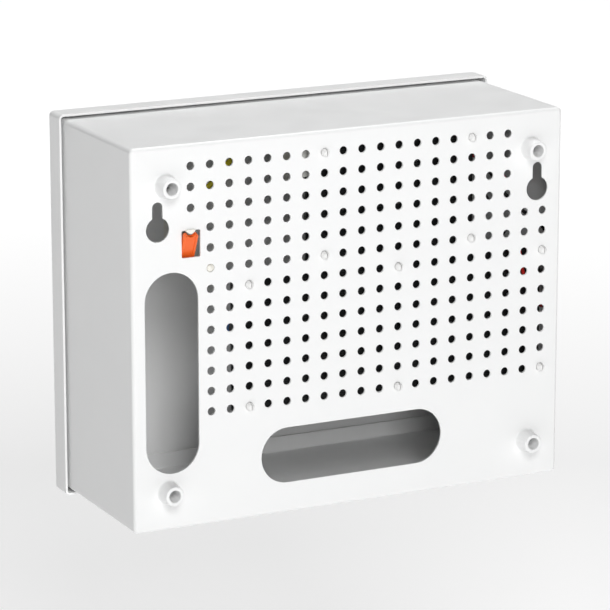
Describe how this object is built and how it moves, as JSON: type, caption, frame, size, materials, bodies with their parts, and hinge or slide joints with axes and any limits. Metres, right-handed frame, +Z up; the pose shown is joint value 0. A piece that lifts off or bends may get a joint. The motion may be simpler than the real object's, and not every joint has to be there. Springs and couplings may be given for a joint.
{
  "type": "wireless router",
  "caption": "Wireless router boards in a flat white wall box with a perforated back plate, cable slots, keyholes, hinged cover and tamper switches.",
  "frame": {"origin": "middle of the four distance sleeves, on the wall plane that their tips touch", "axes": "+Y into the wall, -Y out of the front cover, +Z up, +X to the right as seen from the front"},
  "size_m": [0.2397, 0.1026, 0.1914],
  "materials": {
    "white_steel": "smooth white powder coat on folded sheet steel, satin",
    "white_cover": "radio-transparent moulded cover, painted to match the case",
    "zinc_steel": "bright zinc plate",
    "lock_steel": "polished die-cast lock",
    "white_nylon": "moulded nylon",
    "ivory_plastic": "moulded, slightly cream",
    "orange_plastic": "moulded orange lever, satin gloss",
    "black_board": "glass-epoxy board with black solder mask",
    "solder": "bright solder",
    "white_terminal": "moulded terminal block",
    "green_terminal": "moulded terminal block",
    "fuse_glass": "glass tube fuse with plated caps",
    "ferrite": "sintered ferrite core",
    "coil_tape": "yellow polyester tape on the winding",
    "capacitor_box": "potted film capacitor",
    "capacitor_can": "printed sleeve on an aluminium can",
    "black_plastic": "moulded black plastic",
    "bare_aluminium": "extruded and sawn",
    "gold_contact": "gold-plated contacts",
    "tin_shield": "tinned shield can",
    "light_lens": "clear green diodes",
    "blue_plastic": "moulded blue cap",
    "antenna_board": "flat printed antenna on a foam pad",
    "earth_insulation": "green and yellow insulation",
    "black_insulation": "black insulation",
    "red_insulation": "red insulation",
    "brass_terminal": "crimped ring terminal"
  },
  "bodies": {
    "case": {"back_plate": "white_steel", "case_walls": "white_steel", "front_lips": "white_steel", "hinge_case_leaves": "zinc_steel", "hinge_pins": "zinc_steel", "case_rivets": "zinc_steel", "distance_sleeves": "white_steel", "router_board": "black_board", "power_board": "black_board", "router_posts": "white_nylon", "power_posts": "white_nylon", "board_solder": "solder", "mains_terminal": "white_terminal", "terminal_screws": "zinc_steel", "fuse_holder": "zinc_steel", "fuse": "fuse_glass", "transformer": "ferrite", "transformer_coil": "coil_tape", "filter_capacitor": "capacitor_box", "capacitors": "capacitor_can", "power_heat_sink": "bare_aluminium", "output_terminal": "green_terminal", "network_jacks": "black_plastic", "jack_contacts": "gold_contact", "processor": "black_plastic", "processor_heat_sink": "bare_aluminium", "memory_chips": "black_plastic", "radio_module": "tin_shield", "power_inlet": "black_plastic", "status_lights": "light_lens", "reset_switch": "black_plastic", "pairing_switch": "black_plastic", "antenna_side": "antenna_board", "antenna_bottom": "antenna_board", "antenna_leads": "black_insulation", "tamper_holder": "ivory_plastic", "lever_pin": "zinc_steel", "lever_spring": "zinc_steel", "tamper_sensor": "black_plastic", "cover_switch_holder": "ivory_plastic", "earth_stud": "zinc_steel", "earth_terminal": "brass_terminal", "earth_wire": "earth_insulation", "black_wires": "black_insulation", "red_wire": "red_insulation"},
    "cover": {"front_cover": "white_cover", "hinge_cover_leaves": "zinc_steel", "cover_rivets": "zinc_steel", "lock_housing": "lock_steel", "lock_nut": "zinc_steel"},
    "lock": {"lock_plug": "lock_steel", "lock_cam": "zinc_steel", "cam_screw": "zinc_steel"},
    "wall_lever": {"wall_tamper_lever": "orange_plastic"},
    "cover_plunger": {"cover_switch_plunger": "white_nylon"},
    "reset": {"reset_button": "black_plastic"},
    "pairing": {"pairing_button": "blue_plastic"}
  },
  "joints": [
    {"name": "cover_hinge", "type": "hinge", "parent": "case", "child": "cover", "pos_m": [-0.1195, -0.0845, 0], "axis": [0, 0, -1], "range_deg": [0, 115]},
    {"name": "lock_turn", "type": "hinge", "parent": "cover", "child": "lock", "pos_m": [0.092, -0.099, 0], "axis": [0, -1, 0], "range_deg": [0, 90]},
    {"name": "wall_lever_swing", "type": "hinge", "parent": "case", "child": "wall_lever", "pos_m": [0.08565, -0.0135, 0.035], "axis": [1, 0, 0], "range_deg": [-10, 5], "stiffness_Nm_per_rad": 0.01},
    {"name": "cover_plunger_slide", "type": "slide", "parent": "case", "child": "cover_plunger", "axis": [0, 1, 0], "range_m": [0, 0.003], "stiffness_N_per_m": 100, "springref_m": -0.001},
    {"name": "reset_press", "type": "slide", "parent": "case", "child": "reset", "axis": [0, 1, 0], "range_m": [0, 0.0006], "stiffness_N_per_m": 200},
    {"name": "pairing_press", "type": "slide", "parent": "case", "child": "pairing", "axis": [0, 1, 0], "range_m": [0, 0.0006], "stiffness_N_per_m": 200}
  ]
}
